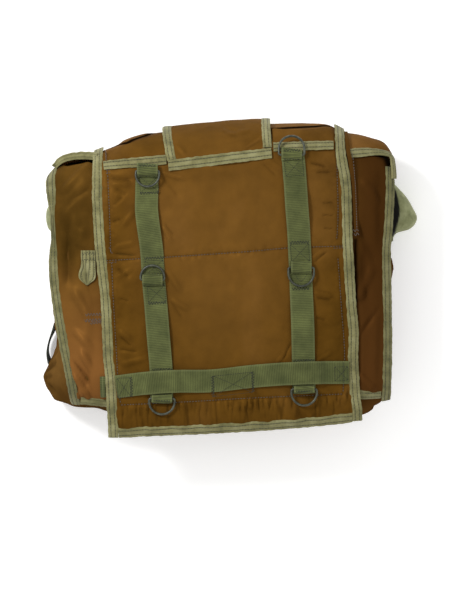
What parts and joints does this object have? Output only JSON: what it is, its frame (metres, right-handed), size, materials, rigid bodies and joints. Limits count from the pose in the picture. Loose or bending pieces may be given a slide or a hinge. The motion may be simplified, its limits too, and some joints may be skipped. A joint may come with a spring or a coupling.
{
  "type": "filled cloth parachutist's pack",
  "caption": "Filled nylon pack for a parachutist, closed and lying on its back, with a bound flap, ribbed webbings, wire rings and canvas straps at its sides.",
  "frame": {"origin": "a point on the flat back, near the middle of the pack, where it rests on the floor", "axes": "+X to the pack's right as seen from the front, +Y towards its top, +Z out of its front, away from the floor"},
  "size_m": [0.4239, 0.3628, 0.1203],
  "materials": {
    "nylon": "brown nylon with a satin sheen",
    "binding_tape": "light olive woven cotton tape, matt",
    "webbing": "olive green ribbed webbing",
    "canvas": "pale green cotton canvas, matt",
    "ring_wire": "dark grey-green coated steel wire"
  },
  "bodies": {
    "root": {"pack_body": "nylon", "front_panel": "nylon", "seam_tape_left": "binding_tape", "seam_tape_right": "binding_tape", "seam_tape_bottom": "binding_tape", "lid": "nylon", "lid_tape_left": "binding_tape", "lid_tape_right": "binding_tape", "flap": "nylon", "flap_tape_left": "binding_tape", "flap_tape_right": "binding_tape", "flap_tape_bottom": "binding_tape", "flap_tape_top_left": "binding_tape", "flap_tape_top_right": "binding_tape", "flap_facing": "nylon", "tongue": "nylon", "tongue_tape_left": "binding_tape", "tongue_tape_right": "binding_tape", "tongue_tape_bottom": "binding_tape", "strap_left": "webbing", "strap_right": "webbing", "cross_strap": "webbing", "cross_strap_end": "webbing", "ring_left_top": "ring_wire", "loop_left_top": "webbing", "ring_left_mid": "ring_wire", "loop_left_mid": "webbing", "ring_left_bottom": "ring_wire", "loop_left_bottom": "webbing", "ring_right_top": "ring_wire", "loop_right_top": "webbing", "ring_right_mid": "ring_wire", "loop_right_mid": "webbing", "ring_right_bottom": "ring_wire", "loop_right_bottom": "webbing", "side_tab": "binding_tape", "shoulder_strap_right": "canvas", "shoulder_strap_left": "canvas", "lower_strap_left": "webbing"}
  },
  "joints": []
}
